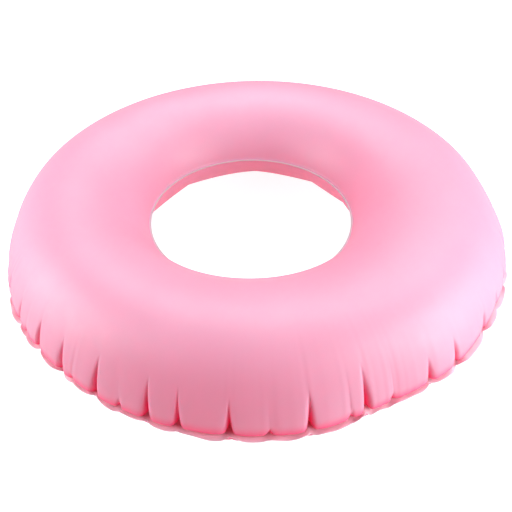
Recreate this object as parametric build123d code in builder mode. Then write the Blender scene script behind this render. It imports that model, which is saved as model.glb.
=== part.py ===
"""Inflatable swim ring: two flat PVC annuli welded at their outer and inner edges, and an air valve.

Millimetres. The origin is the centre of the ring's footprint, +Z is up and is the ring's axis.
The valve sits on the lower panel's outer flank, on the +Y side.
"""

from build123d import *
from math import cos, radians, sin
import os

os.makedirs("parts", exist_ok=True)

# Air chamber, measured on the outside of the film when inflated.
outer_seam_radius = 372.0
inner_seam_radius = 161.0
chamber_height = 178.0
rest_band = 12.0  # width of the ring's flat footprint

# Film and its weld margins.
film = 0.3
outer_margin = 8.0
inner_margin = 3.0

# Place of the valve: angle below the horizontal, seen from the middle of the outer arc.
valve_tilt = 45.0

# Valve moulding.
stem_radius = 5.5
bore_radius = 4.0
stem_outside = 14.0  # stem's mouth above the panel
stem_inside = 6.0  # stem's inner end below the panel
lip_width = 0.8
lip_height = 1.5
lug_width = 4.0
lug_height = 1.6
lug_drop = 0.2  # lug's upper face below the mouth
diaphragm_radius = 13.0
diaphragm_film = 0.6
diaphragm_rise = 3.4
diaphragm_skirt = 1.8
flange_film = 0.6
flange_weld = 6.0  # width of the flange's weld on the panel
hole_gap = 2.0  # from the diaphragm to the edge of the panel's hole

# Stopper, its strap and the check flap.
head_overhang = 0.7  # past the stem's lip
head_height = 1.95
head_edge = 0.4
shank_length = 5.0
shank_taper = 1.3
strap_film = 1.0
strap_bend = 0.9
strap_reach = 1.8  # from the stopper's head to the end of the lug
flap_overlap = 1.2  # past the bore
flap_film = 0.4

# Clearances between pieces that move on each other.
slide_clearance = 0.05
seat_clearance = 0.05
plug_clearance = 0.1
hinge_clearance = 0.2

# The chamber's section: a quarter circle outside the crown and a flatter arc inside it.
half_height = chamber_height / 2
weld_level = half_height
crown_radius = outer_seam_radius - half_height
air_height = half_height - film

# The valve's own axes: outward through the panel, and up towards the outer seam.
outward = Vector(0, cos(radians(valve_tilt)), -sin(radians(valve_tilt)))
upward = Vector(0, sin(radians(valve_tilt)), cos(radians(valve_tilt)))
valve_centre = Vector(0, crown_radius, weld_level) + outward * half_height
valve_face = Plane(origin=valve_centre, x_dir=upward, z_dir=outward)
valve_section = Plane(origin=valve_centre, x_dir=upward, z_dir=Vector(-1, 0, 0))
valve_axis = Axis(valve_centre, outward)

# What fits to what.
hole_radius = diaphragm_radius + hole_gap
flange_radius = hole_radius + flange_weld
flap_radius = bore_radius + flap_overlap
head_radius = stem_radius + lip_width + head_overhang
shank_radius = bore_radius - plug_clearance
head_level = stem_outside + seat_clearance
head_top = head_level + head_height
lug_end = head_radius + strap_reach
strap_root = lug_end + hinge_clearance + strap_film / 2
strap_root_level = stem_outside - lug_drop - lug_height / 2
strap_level = head_level + head_height / 2
flap_level = -stem_inside - seat_clearance
cut_reach = flange_radius  # how far the valve's cuts run each way, past the panel's curve


def panel_path(side, flat):
    """Draws a panel's air side from its outer edge to its inner edge, above (1) or below (-1) the welds."""
    crown_level = weld_level + side * air_height
    Line((outer_seam_radius + outer_margin, weld_level), (outer_seam_radius - film, weld_level))
    CenterArc((crown_radius, weld_level), air_height, 0, side * 90)
    if flat:
        Line((crown_radius, crown_level), (crown_radius - flat, crown_level))
    TangentArc(
        (crown_radius - flat, crown_level),
        (inner_seam_radius + film, weld_level),
        tangent=(-1, 0),
    )
    Line((inner_seam_radius + film, weld_level), (inner_seam_radius - inner_margin, weld_level))


# Upper panel: an arch of film over the chamber, with its two weld margins.
with BuildPart() as upper_panel:
    with BuildSketch(Plane.XZ):
        with BuildLine():
            panel_path(1, 0)
            offset(amount=film, side=Side.RIGHT)
        make_face()
    revolve(axis=Axis.Z)
upper_panel.part.label = "upper_panel"
export_step(upper_panel.part, "parts/upper_panel.step")

# Lower panel: the same arch upside down, flat where it rests, with the valve's hole.
with BuildPart() as lower_panel:
    with BuildSketch(Plane.XZ):
        with BuildLine():
            panel_path(-1, rest_band)
            offset(amount=film, side=Side.LEFT)
        make_face()
    revolve(axis=Axis.Z)
    with BuildSketch(valve_face):
        Circle(hole_radius)
    extrude(amount=cut_reach, both=True, mode=Mode.SUBTRACT)
lower_panel.part.label = "lower_panel"
export_step(lower_panel.part, "parts/lower_panel.step")

# Valve flange: a round patch that lies on the lower panel and is welded to it around the hole.
with BuildPart() as valve_flange:
    with BuildSketch(Plane.YZ):
        with BuildLine():
            CenterArc((crown_radius, weld_level), half_height, -90, 90)
            offset(amount=flange_film, side=Side.RIGHT)
        make_face()
    revolve(axis=Axis.Z)
    with BuildSketch(valve_face):
        Circle(flange_radius)
        Circle(diaphragm_radius, mode=Mode.SUBTRACT)
    extrude(amount=cut_reach, both=True, mode=Mode.INTERSECT)
valve_flange.part.label = "valve_flange"
export_step(valve_flange.part, "parts/valve_flange.step")

# Diaphragm: the soft cone that lets the stem be pushed in until it is flush.
with BuildPart() as valve_diaphragm:
    with BuildSketch(valve_section):
        with BuildLine():
            Polyline(
                (diaphragm_radius, flange_film - diaphragm_skirt),
                (diaphragm_radius, flange_film),
                (stem_radius, flange_film + diaphragm_rise),
            )
            offset(amount=diaphragm_film, side=Side.LEFT)
        make_face()
    revolve(axis=valve_axis)
    with BuildSketch(valve_face):
        Circle(stem_radius + slide_clearance)
    extrude(amount=stem_outside, mode=Mode.SUBTRACT)
valve_diaphragm.part.label = "valve_diaphragm"
export_step(valve_diaphragm.part, "parts/valve_diaphragm.step")

# Stem: the tube that is blown into, with a lip at its mouth and a lug for the stopper's strap.
with BuildPart() as valve_stem:
    with BuildSketch(valve_section):
        with Locations((0, -stem_inside)):
            Rectangle(stem_radius, stem_inside + stem_outside, align=(Align.MIN, Align.MIN))
        with Locations((0, stem_outside)):
            Rectangle(stem_radius + lip_width, lip_height, align=(Align.MIN, Align.MAX))
    revolve(axis=valve_axis)
    with BuildSketch(valve_face.offset(strap_root_level - lug_height / 2)):
        Rectangle(lug_end, lug_width, align=(Align.MIN, Align.CENTER))
    extrude(amount=lug_height)
    with BuildSketch(valve_face.offset(-stem_inside)):
        Circle(bore_radius)
    extrude(amount=stem_inside + stem_outside, mode=Mode.SUBTRACT)
valve_stem.part.label = "valve_stem"
export_step(valve_stem.part, "parts/valve_stem.step")

# Check flap: a disc of film that closes the stem's inner end against the air in the ring.
with BuildPart() as check_flap:
    with BuildSketch(valve_face.offset(flap_level)):
        Circle(flap_radius)
    extrude(amount=-flap_film)
check_flap.part.label = "check_flap"
export_step(check_flap.part, "parts/check_flap.step")

# Stopper: a flat head with a tapered shank that plugs the bore.
with BuildPart() as valve_stopper:
    with BuildSketch(valve_section):
        with BuildLine():
            Polyline(
                (0, head_top),
                (head_radius, head_top),
                (head_radius, head_level),
                (shank_radius, head_level),
                (shank_radius - shank_taper, head_level - shank_length),
                (0, head_level - shank_length),
                close=True,
            )
        make_face()
    revolve(axis=valve_axis)
    head_rims = valve_stopper.edges().filter_by(GeomType.CIRCLE).group_by(SortBy.RADIUS)[-1]
    fillet(head_rims, head_edge)
valve_stopper.part.label = "valve_stopper"
export_step(valve_stopper.part, "parts/valve_stopper.step")

# Strap: the living hinge that ties the stopper to the stem's lug.
with BuildPart() as stopper_strap:
    with BuildSketch(valve_section):
        with BuildLine():
            FilletPolyline(
                (strap_root, strap_root_level),
                (strap_root, strap_level),
                (0, strap_level),
                radius=strap_bend,
            )
            offset(amount=strap_film / 2, side=Side.BOTH)
        make_face()
    extrude(amount=lug_width / 2, both=True)
    with BuildSketch(valve_face):
        Circle(head_radius)
    extrude(amount=head_top, mode=Mode.SUBTRACT)
stopper_strap.part.label = "stopper_strap"
export_step(stopper_strap.part, "parts/stopper_strap.step")
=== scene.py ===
"""Looks of an inflatable swim ring: two welded sheets of frosted pink vinyl and an air valve.

Metres, in the CAD model's frame. Azimuths are in degrees from the ring's front (-Y), positive towards +X.
"""

import math

import bpy
import numpy as np
from mathutils import Matrix, Vector


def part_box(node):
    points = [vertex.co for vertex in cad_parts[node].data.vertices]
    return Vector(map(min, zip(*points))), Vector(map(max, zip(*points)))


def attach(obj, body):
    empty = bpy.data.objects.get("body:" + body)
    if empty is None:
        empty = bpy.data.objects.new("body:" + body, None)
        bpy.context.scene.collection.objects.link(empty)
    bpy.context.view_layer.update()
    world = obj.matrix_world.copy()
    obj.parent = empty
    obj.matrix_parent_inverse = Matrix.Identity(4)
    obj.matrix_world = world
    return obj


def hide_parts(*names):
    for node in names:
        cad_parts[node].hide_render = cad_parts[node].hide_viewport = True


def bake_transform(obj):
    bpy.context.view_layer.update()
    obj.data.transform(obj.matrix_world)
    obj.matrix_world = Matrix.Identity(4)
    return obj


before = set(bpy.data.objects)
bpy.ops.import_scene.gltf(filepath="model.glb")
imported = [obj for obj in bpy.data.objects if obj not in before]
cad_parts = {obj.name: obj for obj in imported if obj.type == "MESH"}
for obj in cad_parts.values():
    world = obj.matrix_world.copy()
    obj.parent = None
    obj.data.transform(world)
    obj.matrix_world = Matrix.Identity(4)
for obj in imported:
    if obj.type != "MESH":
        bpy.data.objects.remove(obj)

MM = 0.001
TURN = 2 * math.pi

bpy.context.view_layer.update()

# The ring's section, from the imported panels.
panel_low, panel_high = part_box("upper_panel")
EDGE_RADIUS = panel_high.x  # outer edge of the weld margin
WELD_Z = panel_low.z
HALF_HEIGHT = panel_high.z - WELD_Z
OUTER_MARGIN = 8 * MM
INNER_MARGIN = 3 * MM
REST_BAND = 12 * MM
FILM = 0.3 * MM
SEAM_RADIUS = EDGE_RADIUS - OUTER_MARGIN
HOLE_RADIUS = min(v.co.xy.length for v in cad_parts["upper_panel"].data.vertices) + INNER_MARGIN
CROWN_RADIUS = SEAM_RADIUS - HALF_HEIGHT
HOLE_SHIFT = -7.3 * MM  # the inner weld sits a little left of the ring's middle
HOLE_OVAL = 2.8 * MM  # its radius is this much more side to side, and as much less front to back

# The valve stands square to the lower panel's outer flank, at the back of the ring.
VALVE_OUT = np.array([0, math.sqrt(0.5), -math.sqrt(0.5)])
VALVE_CENTRE = np.array([0, CROWN_RADIUS, WELD_Z]) + HALF_HEIGHT * VALVE_OUT
VALVE_HOLE = 15.5 * MM  # radius of the hole that the film has under the valve's flange
VALVE_CLEAR = 24 * MM  # radius round the valve where the film is left smooth


# ---------------------------------------------------------------- camera

def make_camera():
    """Camera in front of the ring and above it, level but for a slight roll."""
    distance = 0.630
    height = 0.5225
    pitch = 0.7751
    roll = 0.0097
    lens = 35.28
    data = bpy.data.cameras.new("camera")
    data.lens = lens
    data.sensor_width = 36
    data.clip_start = 0.01
    camera = bpy.data.objects.new("camera", data)
    bpy.context.scene.collection.objects.link(camera)
    right = Vector((1, 0, 0))
    forward = Vector((0, math.cos(pitch), -math.sin(pitch)))
    up = right.cross(forward)
    turned_right = right * math.cos(roll) - up * math.sin(roll)
    turned_up = up * math.cos(roll) + right * math.sin(roll)
    axes = Matrix((turned_right, turned_up, -forward)).transposed()
    camera.matrix_world = Matrix.Translation((0, -distance, WELD_Z + height)) @ axes.to_4x4()
    bpy.context.scene.camera = camera


make_camera()


# ---------------------------------------------------------------- puckers

# The outer weld holds more film than its circle needs, so the film gathers in puckers.
# Each has an azimuth in degrees, a depth at the weld and a length up the film in millimetres.
FRONT_PUCKERS = (
    (-71.0, 4, 34), (-63.3, 6, 40), (-54.7, 7, 46), (-51.0, 3, 20), (-46.2, 9, 50), (-38.6, 9, 54),
    (-35.4, 3, 18), (-29.9, 10, 60), (-24.6, 4, 24), (-19.1, 10, 58), (-13.5, 8, 56), (-4.7, 10, 50),
    (1.8, 4, 16), (8.8, 10, 54), (16.1, 3, 22), (19.3, 11, 68), (24.5, 3, 20), (33.0, 8, 44),
    (39.9, 9, 46), (50.5, 7, 36), (57.7, 6, 34), (65.2, 6, 34),
)
HIDDEN_FROM = 73.0  # azimuth past which the puckers are drawn at random
PUCKER_PITCH = 8.6


def pucker_table():
    """Azimuth (radians), depth, length above and below the weld, and lean of every pucker round the ring."""
    draw = np.random.default_rng(7)
    rows = [tuple(p) for p in FRONT_PUCKERS]
    azimuth = HIDDEN_FROM
    while azimuth < 360 - HIDDEN_FROM - 3:
        strength = draw.choice([0.4, 0.75, 1.0], p=[0.25, 0.35, 0.4])
        rows.append((azimuth, 4 + 6 * strength, 20 + 38 * strength))
        azimuth += PUCKER_PITCH * (0.55 + 0.6 * strength) * draw.uniform(0.85, 1.15)
    rows = np.array(sorted(rows, key=lambda p: p[0] % 360), float)
    count = len(rows)
    azimuths = np.radians(rows[:, 0] % 360)
    below = rows[:, 2] * draw.uniform(0.7, 1.15, count)
    near_valve = np.abs(rows[:, 0] % 360 - 180) < 9
    below[near_valve] = np.minimum(below[near_valve], 26)
    lean = draw.normal(0, 2.0, count)
    return azimuths, rows[:, 1] * MM, rows[:, 2] * MM, below * MM, lean * MM


AZIMUTHS, DEPTHS, LENGTHS_ABOVE, LENGTHS_BELOW, LEANS = pucker_table()


# Distances between the mesh's columns or rows.
FINE_PITCH = 1.0 * MM  # at a pucker and at the outer weld
VALVE_PITCH = 1.8 * MM
COLUMN_PITCH = 4.0 * MM
ROW_PITCH = 6.5 * MM
ROW_GROWTH = 0.05  # share of the distance from the weld that is added to a row's pitch


def wrapped(angle):
    """Angle between -half a turn and half a turn."""
    return (angle + math.pi) % TURN - math.pi


def columns():
    """Azimuths of the mesh's columns, closer together at the puckers and at the valve."""
    fine = np.linspace(0, TURN, 20001)
    density = np.full(fine.shape, 1 / COLUMN_PITCH)
    for azimuth in AZIMUTHS:
        near = SEAM_RADIUS * wrapped(fine - azimuth) / (9 * MM)
        density = np.maximum(density, np.exp(-near**2) / FINE_PITCH)
    at_valve = np.abs(SEAM_RADIUS * (fine - math.pi)) < VALVE_CLEAR
    density[at_valve] = np.maximum(density[at_valve], 1 / VALVE_PITCH)
    run = np.concatenate([[0], np.cumsum((density[1:] + density[:-1]) / 2 * np.diff(fine) * SEAM_RADIUS)])
    count = int(run[-1])
    return np.interp(np.arange(count) / count * run[-1], run, fine)


PHI = columns()


def pillow_phase(creases, power):
    """0 at each crease and 1 half way between two, and the gap between the two, for every column."""
    starts = np.concatenate([creases[-1:] - TURN, creases, creases[:1] + TURN])
    index = np.searchsorted(starts, PHI, side="right") - 1
    gap = starts[index + 1] - starts[index]
    place = (PHI - starts[index]) / gap
    return 1 - np.abs(2 * place - 1) ** power, gap * SEAM_RADIUS


PHASE, GAP = pillow_phase(AZIMUTHS, 2.6)

# The hole's lower wall is drawn into shallow facets between these creases.
INNER_CREASES = np.radians(sorted(a % 360 for a in (95, 117, 145, 179, 217, 252, 287, 321, 353, 25, 61)))
INNER_PHASE, _ = pillow_phase(INNER_CREASES, 2.0)


def ripple(seed, waves, low, high):
    """A smooth random function of azimuth, about 1 high, with low to high waves round the ring."""
    draw = np.random.default_rng(seed)
    total = np.zeros_like(PHI)
    for _ in range(waves):
        total += np.cos(draw.integers(low, high) * PHI + draw.uniform(0, TURN))
    return total / math.sqrt(waves / 2)


def fade(value, length):
    """1 at 0, falling smoothly to 0 at length."""
    t = np.clip(1 - value / length, 0, 1)
    return t * t * (3 - 2 * t)


def section(s, flat):
    """Radius, height over the weld plane and outward normal of the smooth film, s along it from the weld."""
    outer = HALF_HEIGHT * math.pi / 2
    width = CROWN_RADIUS - flat - HOLE_RADIUS
    turn = 2 * math.atan2(HALF_HEIGHT, width)
    bend = width / math.sin(turn)
    a = np.clip(s, 0, outer) / HALF_HEIGHT
    b = np.clip(s - outer - flat, 0, bend * turn) / bend
    level = np.clip(s - outer, 0, flat)
    radius = CROWN_RADIUS + HALF_HEIGHT * np.cos(a) - level - bend * np.sin(b)
    height = HALF_HEIGHT * np.sin(a) - bend * (1 - np.cos(b))
    normal_out = np.where(s <= outer, np.cos(a), -np.sin(b))
    normal_up = np.where(s <= outer, np.sin(a), np.cos(b))
    return radius, height, normal_out, normal_up, outer + flat + bend * turn


def film_rows(flat):
    """Distances of the mesh's rows along the film, close together at the outer weld and at the valve."""
    length = section(np.zeros(1), flat)[4]
    valve = HALF_HEIGHT * math.pi / 4
    rows = [0.0]
    while rows[-1] < length - 4 * MM:
        step = min(FINE_PITCH + ROW_GROWTH * rows[-1], ROW_PITCH)
        if flat and abs(rows[-1] - valve) < VALVE_CLEAR:
            step = VALVE_PITCH
        rows.append(rows[-1] + step)
    rows[-1] = length
    return np.array(rows)


CURL = 6 * MM  # how far up the film its turn over the weld margin reaches
BULGE = 8.2 * MM  # how far the film stands out over the margin
BULGE_LENGTH = 36 * MM
BULGE_BELOW = 0.35  # share of the bulge that the lower panel has
PILLOW = 0.22  # how much less the film bulges at a pucker than half way between two
PILLOW_GAP = 50 * MM  # distance between two puckers from which the pillow is full

PUCKER_SPREAD = 45 * MM  # how far to each side a pucker moves the film
PUCKER_TAPER = 1.25
CUT_WIDTH = 3.1 * MM  # half width of a pucker at the weld
CUT_TIP = 0.35  # share of that width at the pucker's far end
CUT_ROUND = 0.3  # how rounded the bottom of a pucker is
RIDGE = 0.12  # height of the ridges beside a pucker

FINE_RIPPLE = 0.19 * MM
HOLLOW = 11 * MM  # the most that the hole's lower wall is drawn in from round
SAG = 4 * MM  # the crown is a little low at the back

# Where the outer side stands out or is drawn in: azimuth, half width in degrees, and how far.
UNEVEN = (
    (24, 11, -7.5 * MM), (-38, 14, -2.0 * MM), (66, 12, 2.0 * MM), (-84, 18, -4.5 * MM), (92, 10, -4.0 * MM),
)
UNEVEN_FEET = 1.6  # number of half widths at which such a stretch ends
UNEVEN_LENGTH = 70 * MM  # how far up the film it fades


def lobe(azimuth, half_width):
    """1 at an azimuth in degrees, falling smoothly to 0 at half_width each side, for every column."""
    return fade(np.degrees(np.abs(wrapped(PHI - math.radians(azimuth)))), half_width)


def uneven_stretches():
    """How far each uneven stretch moves the outer side, for every column."""
    return [far * lobe(azimuth, UNEVEN_FEET * half_width) for azimuth, half_width, far in UNEVEN]


def pucker_folds(s, bulge, lengths):
    """How far the puckers move the film: each is a cut between two low ridges, tapering up the film."""
    folds = np.zeros((len(s), len(PHI)))
    for azimuth, depth, reach, lean in zip(AZIMUTHS, DEPTHS, lengths, LEANS):
        near = np.flatnonzero(np.abs(SEAM_RADIUS * wrapped(PHI - azimuth)) < PUCKER_SPREAD)
        share = np.clip(1 - s / reach, 0, 1)
        x = SEAM_RADIUS * wrapped(PHI[near] - azimuth) - lean * (1 - share)
        t = x / (CUT_WIDTH * (CUT_TIP + (1 - CUT_TIP) * share))
        cut = np.exp(CUT_ROUND - np.sqrt(t * t + CUT_ROUND**2))
        ridge = RIDGE * t * t * np.exp(1 - np.abs(t)) * np.exp(-np.abs(t) / 3)
        folds[:, near] += depth * (1 + 0.6 * bulge) * share**PUCKER_TAPER * (ridge - cut)
    return folds


def lower_wall(s, length):
    """How far the hole's lower wall is drawn in: less half way between its creases and at the sides."""
    outer = HALF_HEIGHT * math.pi / 2 + REST_BAND
    inner = np.clip((length - s) / (length - outer), 0, 1)
    full = 0.4 * INNER_PHASE + 0.65 * (lobe(115, 60) + lobe(-115, 60))
    return HOLLOW * (1 - full) * np.sin(math.pi * inner) ** 2


def film_offset(s, length, lengths, side, seed):
    """How far the film is moved along its outward normal, and how deep it lies in a pucker (0 to 1)."""
    s = s[:, None]
    bulge = np.sqrt(1 - np.clip(1 - s / CURL, 0, 1) ** 2) * np.exp(-((s / BULGE_LENGTH) ** 2))
    # the film stands out less at the front right
    stand = (1 - 0.5 * lobe(55, 30)) * (1 if side > 0 else BULGE_BELOW)
    moved = BULGE * stand * bulge * (1 - PILLOW * (1 - PHASE) * np.minimum(GAP / PILLOW_GAP, 1.0))
    folds = pucker_folds(s, bulge, lengths)
    moved += folds
    moved += FINE_RIPPLE * ripple(seed, 24, 110, 260) * np.exp(-s / (40 * MM)) * (1 - fade(s, 8 * MM))
    for stretch in uneven_stretches():
        moved += stretch * np.exp(-((s / UNEVEN_LENGTH) ** 2))
    if side > 0:
        moved -= SAG * lobe(200, 120) * np.sin(math.pi * np.clip(s / (200 * MM), 0, 1)) ** 2
    else:
        moved -= lower_wall(s, length)
    return moved, np.clip(-folds / (9 * MM), 0, 1)


def off_valve(radius, height):
    """0 where the film is left smooth round the valve, rising to 1 a little way off, rows by columns."""
    x = radius[:, None] * np.sin(PHI)
    y = -radius[:, None] * np.cos(PHI)
    z = WELD_Z - height[:, None] + 0 * x
    gap = np.linalg.norm(np.stack([x, y, z], axis=2) - VALVE_CENTRE, axis=2)
    return 1 - fade(np.maximum(gap - VALVE_CLEAR, 0), 18 * MM)


def valve_hole(points):
    """Points with those inside the valve's hole put on its edge, and which of them are inside."""
    beside = points - VALVE_CENTRE
    level = beside @ VALVE_OUT
    beside = beside - level[..., None] * VALVE_OUT
    gap = np.linalg.norm(beside, axis=2)
    inside = (gap < VALVE_HOLE) & (np.abs(level) < VALVE_CLEAR)
    edge = points + beside * (VALVE_HOLE / np.maximum(gap, 0.1 * MM) - 1)[..., None]
    # back onto the film's round section
    radius = np.linalg.norm(edge[..., :2], axis=2)
    out, up = radius - CROWN_RADIUS, edge[..., 2] - WELD_Z
    size = HALF_HEIGHT / np.maximum(np.hypot(out, up), MM)
    edge = edge * ((CROWN_RADIUS + out * size) / radius)[..., None]
    edge[..., 2] = WELD_Z + up * size
    return np.where(inside[..., None], edge, points), inside


TENT_SHARE = 0.3  # height of a pleat at the weld, as a share of its pucker's depth
TENT_WIDTH = 4.5 * MM
TENT_FADE = 9 * MM  # how fast the pleats die out up the film
FILM_FADE = 12 * MM  # how fast the film leaves the other panel's at a weld
MARGIN_OUT = 2.4 * MM  # how far the margin's edge is past the CAD model's
MARGIN_OUT_FRONT = 1.9 * MM  # and how much more at the front and front left
MARGIN_SHARES = np.array([1.0, 0.93, 0.75, 0.55, 0.38, 0.33, 0.18, 0.06])  # rows, from the edge in
WELD_BAND = 0.36  # share of the margin that the weld itself takes
WELD_DEPTH = 0.1 * MM  # how far the weld is pressed in


def tent():
    """Height of the weld over its plane: at each pucker its spare length stands up in a pleat."""
    height = 0.7 * MM * ripple(21, 14, 12, 60)
    for azimuth, depth in zip(AZIMUTHS, DEPTHS):
        x = SEAM_RADIUS * wrapped(PHI - azimuth)
        height = height + TENT_SHARE * depth * np.exp(-np.abs(x) / TENT_WIDTH)
    return height


def margin_edge():
    """Radius and flutter of the weld margin's outer edge, which is notched and folded at the puckers."""
    radius = EDGE_RADIUS + MARGIN_OUT + MARGIN_OUT_FRONT * (lobe(0, 36) + lobe(-54, 20))
    radius = radius + 0.5 * MM * ripple(33, 10, 20, 70)
    flutter = 0.6 * MM * ripple(55, 12, 25, 110)
    draw = np.random.default_rng(5)
    for stretch in uneven_stretches():
        radius = radius + stretch
    for azimuth, depth in zip(AZIMUTHS, DEPTHS):
        x = SEAM_RADIUS * wrapped(PHI - azimuth)
        sideways = abs(math.sin(azimuth))
        notch = draw.uniform(0.25, 0.55) + 0.35 * sideways
        radius = radius - notch * depth * np.exp(-np.abs(x) / ((8 - 3 * sideways) * MM))
        fold = x / (7 * MM)
        flutter = flutter + draw.uniform(-0.4, 0.4) * depth * fold * np.exp(0.5 - fold * fold / 2)
    return radius, flutter


TENT = tent()
EDGE, FLUTTER = margin_edge()


def outer_margin(side, weld_radius):
    """Radius and height of the outer margin's rows, from its cut edge in to the weld."""
    shares = MARGIN_SHARES[:, None]
    radius = weld_radius + shares * (EDGE - weld_radius)
    height = FILM + side * (TENT * (1 - shares) ** 1.5 + FLUTTER * shares**2)
    height[MARGIN_SHARES < WELD_BAND] -= WELD_DEPTH
    return radius, height


def skin_points(side, lengths, seed, flat):
    """Points of one panel's outer face: margin, film and inner margin. side is 1 above the weld, -1 below."""
    s = film_rows(flat)
    radius, height, out, up, length = section(s, flat)
    moved, deep = film_offset(s, length, lengths, side, seed)
    clear = off_valve(radius, height) if side < 0 else np.ones_like(moved)
    moved *= clear
    r = radius[:, None] + moved * out[:, None]
    margins = np.exp(-s / FILM_FADE) + np.exp(-(length - s) / FILM_FADE)
    z = height[:, None] + moved * up[:, None] + FILM * margins[:, None]
    lift = side * TENT[None, :] * np.exp(-s / TENT_FADE)[:, None]
    margin_r, margin_z = outer_margin(side, r[0])
    inner = np.array([0.35, 0.7, 1.0])[:, None]
    inner_r = r[-1] - inner * INNER_MARGIN
    radius = np.vstack([margin_r, r, inner_r])
    height = np.vstack([margin_z, z + lift, FILM + 0 * inner_r])
    share = np.clip((SEAM_RADIUS - radius) / (SEAM_RADIUS - HOLE_RADIUS), 0, 1)
    share *= np.vstack([np.ones_like(margin_r), clear, np.ones_like(inner_r)])
    x = (radius + share * HOLE_OVAL) * np.sin(PHI)[None, :] + share * HOLE_SHIFT
    y = -(radius - share * HOLE_OVAL) * np.cos(PHI)[None, :]
    along = np.concatenate([-MARGIN_SHARES * 2 * OUTER_MARGIN, s, length + inner[:, 0] * INNER_MARGIN])
    deep = np.vstack([np.zeros_like(margin_r), deep, np.zeros_like(inner_r)])
    return np.stack([x, y, WELD_Z + side * height], axis=2), along, deep, length


def grid_mesh(name, points, flip, hole=None):
    """Closed-round mesh of quads from rows by columns of points, and the indices of the points it uses."""
    rows, cols = points.shape[:2]
    index = np.arange(rows * cols).reshape(rows, cols)
    a, b = index[:-1], index[1:]
    quads = np.stack([a, np.roll(a, -1, 1), np.roll(b, -1, 1), b], axis=2).reshape(-1, 4)
    if flip:
        quads = quads[:, ::-1]
    if hole is not None:
        quads = quads[~hole.ravel()[quads].all(axis=1)]
    used, quads = np.unique(quads, return_inverse=True)
    quads = quads.reshape(-1, 4)
    mesh = bpy.data.meshes.new(name)
    mesh.vertices.add(len(used))
    mesh.vertices.foreach_set("co", points.reshape(-1, 3)[used].astype(np.float32).ravel())
    mesh.loops.add(quads.size)
    mesh.loops.foreach_set("vertex_index", quads.astype(np.int32).ravel())
    mesh.polygons.add(len(quads))
    mesh.polygons.foreach_set("loop_start", np.arange(len(quads), dtype=np.int32) * 4)
    mesh.polygons.foreach_set("use_smooth", np.ones(len(quads), bool))
    mesh.update(calc_edges=True)
    mesh.validate()
    return mesh, used


def add_attribute(mesh, name, values):
    """Gives the mesh's points a value that a material can read."""
    mesh.attributes.new(name, "FLOAT", "POINT").data.foreach_set("value", values.astype(np.float32).ravel())


def painted_crease_shade(along, deep):
    """How much painted shade the film gets: a deep pink painted along the outer weld and in the puckers, and
    less on the lit right side.
    """
    # painted shade: less of it at the right, which the right soft box lights
    shade_except_lit_right = 1 - 0.6 * lobe(75, 60)
    crease_shade = fade(np.maximum(along, 0), 19 * MM) * shade_except_lit_right
    return np.where(along < 0, 0, np.maximum(crease_shade, 0.9 * deep))


def make_skin(name, side, lengths, seed, flat, node):
    """One panel of the ring as a piece that stands for its CAD node."""
    points, along, deep, length = skin_points(side, lengths, seed, flat)
    hole = None
    if side < 0:
        points, hole = valve_hole(points)
    mesh, used = grid_mesh(name, points, side < 0, hole)
    along = along[:, None]
    margin = np.where((along < 0) | (along > length), 1.0, 0.0) + 0 * deep
    add_attribute(mesh, "margin", margin.ravel()[used])
    # painted shade for the film's material, along the outer weld and in the puckers
    add_attribute(mesh, "crease_shade", painted_crease_shade(along, deep).ravel()[used])
    piece = bpy.data.objects.new(name, mesh)
    bpy.context.scene.collection.objects.link(piece)
    thick = piece.modifiers.new("film", "SOLIDIFY")
    thick.thickness = FILM
    thick.offset = -1
    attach(piece, "ring")
    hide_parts(node)
    return piece


DIAPHRAGM_RIM = 13.0 * MM
DIAPHRAGM_NECK = 5.55 * MM  # 0.05 mm clear of the stem
DIAPHRAGM_TOP = 4.0 * MM  # level over the film
DIAPHRAGM_FOOT = -1.2 * MM
DIAPHRAGM_START = 0.6 * MM  # level at which the cone leaves the rim
DIAPHRAGM_THICK = 0.6 * MM


def diaphragm_profile():
    """Radius and level of the cone's section: up its outer face, down its inner face and round the rim."""
    rim, neck, start = DIAPHRAGM_RIM, DIAPHRAGM_NECK, DIAPHRAGM_START
    up = np.linspace(0, 1, 13)
    cone_r = rim + (neck - rim) * up
    cone_level = start + (DIAPHRAGM_TOP - 0.05 * MM - start) * up - 0.25 * MM * np.sin(math.pi * up)
    outer = [(rim, DIAPHRAGM_FOOT), (rim, 0.2 * MM), *zip(cone_r, cone_level)]
    inner = [*zip(cone_r[:0:-1], cone_level[:0:-1] - 1.1 * DIAPHRAGM_THICK)]
    foot_r = rim - DIAPHRAGM_THICK
    return np.array([*outer, *inner, (foot_r, -0.1 * MM), (foot_r, DIAPHRAGM_FOOT)])


def make_diaphragm():
    """The valve's soft cone, which turns inside out when the stem is pushed in."""
    profile = diaphragm_profile()
    along = np.array([0, math.sqrt(0.5), math.sqrt(0.5)])
    aside = np.array([1.0, 0, 0])
    angles = np.arange(64) / 64 * TURN
    around = np.cos(angles)[:, None] * aside + np.sin(angles)[:, None] * along
    points = VALVE_CENTRE + profile[:, None, :1] * around + profile[:, None, 1:] * VALVE_OUT
    mesh, _ = grid_mesh("diaphragm_skin", np.concatenate([points, points[:1]]), True)
    piece = bpy.data.objects.new("diaphragm_skin", mesh)
    bpy.context.scene.collection.objects.link(piece)
    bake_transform(piece)
    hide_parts("valve_diaphragm")
    return piece


# ---------------------------------------------------------------- materials

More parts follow.
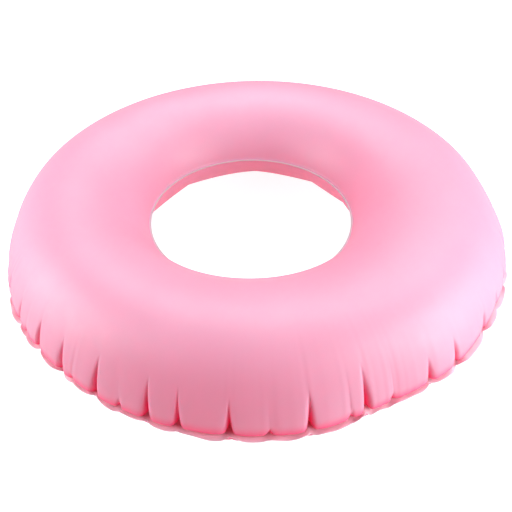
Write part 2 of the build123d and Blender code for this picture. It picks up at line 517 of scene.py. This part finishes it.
class Nodes:
    """Short calls for building one material's node tree."""

    def __init__(self, name):
        self.material = bpy.data.materials.new(name)
        self.material.use_nodes = True
        self.tree = self.material.node_tree
        self.tree.nodes.clear()
        self.output = self.tree.nodes.new("ShaderNodeOutputMaterial")

    def add(self, kind, **values):
        node = self.tree.nodes.new(kind)
        for key, value in values.items():
            setattr(node, key, value)
        return node

    def link(self, start, end):
        self.tree.links.new(start, end)

    def noise(self, scale, detail=2.0, roughness=0.5):
        coordinates = self.add("ShaderNodeTexCoord")
        node = self.add("ShaderNodeTexNoise")
        node.inputs["Scale"].default_value = scale
        node.inputs["Detail"].default_value = detail
        node.inputs["Roughness"].default_value = roughness
        self.link(coordinates.outputs["Object"], node.inputs["Vector"])
        return node.outputs["Fac"]

    def attribute(self, name):
        return self.add("ShaderNodeAttribute", attribute_name=name).outputs["Fac"]

    def remap(self, value, low, high, start=0.0, end=1.0):
        node = self.add("ShaderNodeMapRange")
        for key, number in (("From Min", start), ("From Max", end), ("To Min", low), ("To Max", high)):
            node.inputs[key].default_value = number
        self.link(value, node.inputs["Value"])
        return node.outputs["Result"]

    def mix(self, factor, first, second):
        node = self.add("ShaderNodeMix", data_type="RGBA")
        self.link(factor, node.inputs[0])
        for value, socket in ((first, node.inputs[6]), (second, node.inputs[7])):
            if isinstance(value, tuple):
                socket.default_value = (*value, 1)
            else:
                self.link(value, socket)
        return node.outputs[2]

    def rings(self, centre, axis, pitch):
        """Height of round ridges about an axis, pitch apart."""
        start = self.add("ShaderNodeVectorMath", operation="SUBTRACT")
        self.link(self.add("ShaderNodeTexCoord").outputs["Object"], start.inputs[0])
        start.inputs[1].default_value = centre
        across = self.add("ShaderNodeVectorMath", operation="CROSS_PRODUCT")
        self.link(start.outputs[0], across.inputs[0])
        across.inputs[1].default_value = axis
        gap = self.add("ShaderNodeVectorMath", operation="LENGTH")
        self.link(across.outputs[0], gap.inputs[0])
        turns = self.add("ShaderNodeMath", operation="MULTIPLY")
        self.link(gap.outputs["Value"], turns.inputs[0])
        turns.inputs[1].default_value = TURN / pitch
        wave = self.add("ShaderNodeMath", operation="SINE")
        self.link(turns.outputs[0], wave.inputs[0])
        return wave.outputs[0]

    def bump(self, height, strength, distance, normal=None):
        node = self.add("ShaderNodeBump")
        node.inputs["Strength"].default_value = strength
        node.inputs["Distance"].default_value = distance
        self.link(height, node.inputs["Height"])
        if normal is not None:
            self.link(normal, node.inputs["Normal"])
        return node.outputs["Normal"]


def film_material():
    """Frosted pink vinyl: pale where light falls on it, deeper where light comes through it, with painted
    shade in its creases.
    """
    n = Nodes("ring_film")
    mottle = n.remap(n.noise(9, 3), 0, 1, 0.35, 0.65)
    crease_shade = n.attribute("crease_shade")
    margin = n.attribute("margin")
    colour = n.mix(mottle, (0.47, 0.46, 0.55), (0.50, 0.49, 0.58))
    # painted shade: deep pink along the outer weld and in the puckers
    colour = n.mix(crease_shade, colour, (0.80, 0.05, 0.27))
    colour = n.mix(margin, colour, (0.84, 0.56, 0.64))
    surface = n.add("ShaderNodeBsdfPrincipled")
    n.link(colour, surface.inputs["Base Color"])
    surface.inputs["IOR"].default_value = 1.5
    surface.inputs["Specular IOR Level"].default_value = 0.8
    surface.inputs["Sheen Weight"].default_value = 0.3
    surface.inputs["Sheen Roughness"].default_value = 0.45
    n.link(n.remap(n.noise(60, 3), 0.42, 0.52, 0.3, 0.7), surface.inputs["Roughness"])
    through = n.add("ShaderNodeBsdfTranslucent")
    # painted shade also in the colour of the light that passes through the film there
    passed = n.mix(crease_shade, (1.0, 0.06, 0.50), (0.97, 0.03, 0.34))
    n.link(n.mix(margin, passed, (0.90, 0.58, 0.66)), through.inputs["Color"])
    grain = n.bump(n.noise(900, 2), 0.10, 0.0004)
    swell = n.bump(n.noise(22, 2), 0.25, 0.0010, grain)
    n.link(swell, surface.inputs["Normal"])
    both = n.add("ShaderNodeMixShader")
    both.inputs[0].default_value = 0.65
    n.link(surface.outputs[0], both.inputs[1])
    n.link(through.outputs[0], both.inputs[2])
    n.link(both.outputs[0], n.output.inputs["Surface"])
    return n.material


def valve_material(name, ringed=False):
    """Milky moulded vinyl of the valve, glossier than the film. The weld on its flange leaves rings."""
    n = Nodes(name)
    colour = n.mix(n.remap(n.noise(240, 3), 0, 1, 0.3, 0.7), (0.80, 0.74, 0.74), (0.86, 0.82, 0.81))
    surface = n.add("ShaderNodeBsdfPrincipled")
    n.link(colour, surface.inputs["Base Color"])
    n.link(n.remap(n.noise(500, 2), 0.24, 0.36, 0.3, 0.7), surface.inputs["Roughness"])
    surface.inputs["IOR"].default_value = 1.5
    surface.inputs["Subsurface Weight"].default_value = 0.25
    surface.inputs["Subsurface Radius"].default_value = (0.004, 0.002, 0.002)
    surface.inputs["Subsurface Scale"].default_value = 0.5
    grain = n.bump(n.noise(1500, 2), 0.15, 0.0002)
    if ringed:
        grain = n.bump(n.rings(VALVE_CENTRE, VALVE_OUT, 0.9 * MM), 0.6, 0.0002, grain)
    n.link(grain, surface.inputs["Normal"])
    n.link(surface.outputs[0], n.output.inputs["Surface"])
    return n.material


FILM_MATERIAL = film_material()
VALVE_MATERIAL = valve_material("valve_vinyl")
FLANGE_MATERIAL = valve_material("valve_flange_vinyl", ringed=True)

for skin in (
    make_skin("upper_skin", 1, LENGTHS_ABOVE, 11, 0.0, "upper_panel"),
    make_skin("lower_skin", -1, LENGTHS_BELOW, 12, REST_BAND, "lower_panel"),
):
    skin.data.materials.append(FILM_MATERIAL)

make_diaphragm().data.materials.append(VALVE_MATERIAL)

for node in ("valve_flange", "valve_stem", "check_flap", "valve_stopper", "stopper_strap"):
    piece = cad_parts[node]
    piece.data.materials.clear()
    piece.data.materials.append(FLANGE_MATERIAL if node == "valve_flange" else VALVE_MATERIAL)


# ---------------------------------------------------------------- studio

SURROUND = 0.9  # brightness that the floor and the surround are seen with


def add_area(name, place, target, size, power, tint=(0.89, 1.0, 1.02)):
    """A soft box that faces its target."""
    data = bpy.data.lights.new(name, "AREA")
    data.shape = "RECTANGLE"
    data.size, data.size_y = size
    data.energy = power
    data.color = tint
    lamp = bpy.data.objects.new(name, data)
    lamp.location = place
    lamp.rotation_euler = (Vector(target) - Vector(place)).to_track_quat("-Z", "Y").to_euler()
    bpy.context.scene.collection.objects.link(lamp)


def make_floor():
    """A wide floor that gives off light, so that it is seen as white."""
    reach = 6.0
    drop = -0.4 * MM  # just under the ring's footprint
    corners = [(-reach, -reach, drop), (reach, -reach, drop), (reach, reach, drop), (-reach, reach, drop)]
    mesh = bpy.data.meshes.new("floor")
    mesh.from_pydata(corners, [], [(0, 1, 2, 3)])
    floor = bpy.data.objects.new("floor", mesh)
    bpy.context.scene.collection.objects.link(floor)
    n = Nodes("floor")
    surface = n.add("ShaderNodeBsdfPrincipled")
    surface.inputs["Base Color"].default_value = (0.25, 0.25, 0.25, 1)
    surface.inputs["Roughness"].default_value = 0.9
    surface.inputs["Emission Color"].default_value = (1, 1, 1, 1)
    surface.inputs["Emission Strength"].default_value = SURROUND
    n.link(surface.outputs[0], n.output.inputs["Surface"])
    mesh.materials.append(n.material)


def make_surround():
    """A surround that lights the ring dimly and is itself seen as pale as the floor."""
    world = bpy.data.worlds.new("surround")
    world.use_nodes = True
    tree = world.node_tree
    lit = tree.nodes["Background"]
    lit.inputs["Color"].default_value = (1, 1, 1, 1)
    lit.inputs["Strength"].default_value = 0.03
    seen = tree.nodes.new("ShaderNodeBackground")
    seen.inputs["Color"].default_value = (1, 1, 1, 1)
    seen.inputs["Strength"].default_value = SURROUND
    both = tree.nodes.new("ShaderNodeMixShader")
    tree.links.new(tree.nodes.new("ShaderNodeLightPath").outputs["Is Camera Ray"], both.inputs[0])
    tree.links.new(lit.outputs[0], both.inputs[1])
    tree.links.new(seen.outputs[0], both.inputs[2])
    tree.links.new(both.outputs[0], tree.nodes["World Output"].inputs["Surface"])
    bpy.context.scene.world = world


def make_studio():
    """Floor, a soft box each side and one over the ring, and a pale surround."""
    make_floor()
    middle = (0, 0, WELD_Z)
    add_area("left_box", (-1.15, -0.22, 0.55), middle, (0.9, 0.9), 31)
    add_area("right_box", (1.15, -0.56, 0.55), middle, (1.0, 1.0), 43)
    add_area("top_box", (0.25, 0.8, 1.6), middle, (2.4, 1.2), 76)
    make_surround()
    bpy.context.scene.view_settings.view_transform = "Standard"


make_studio()
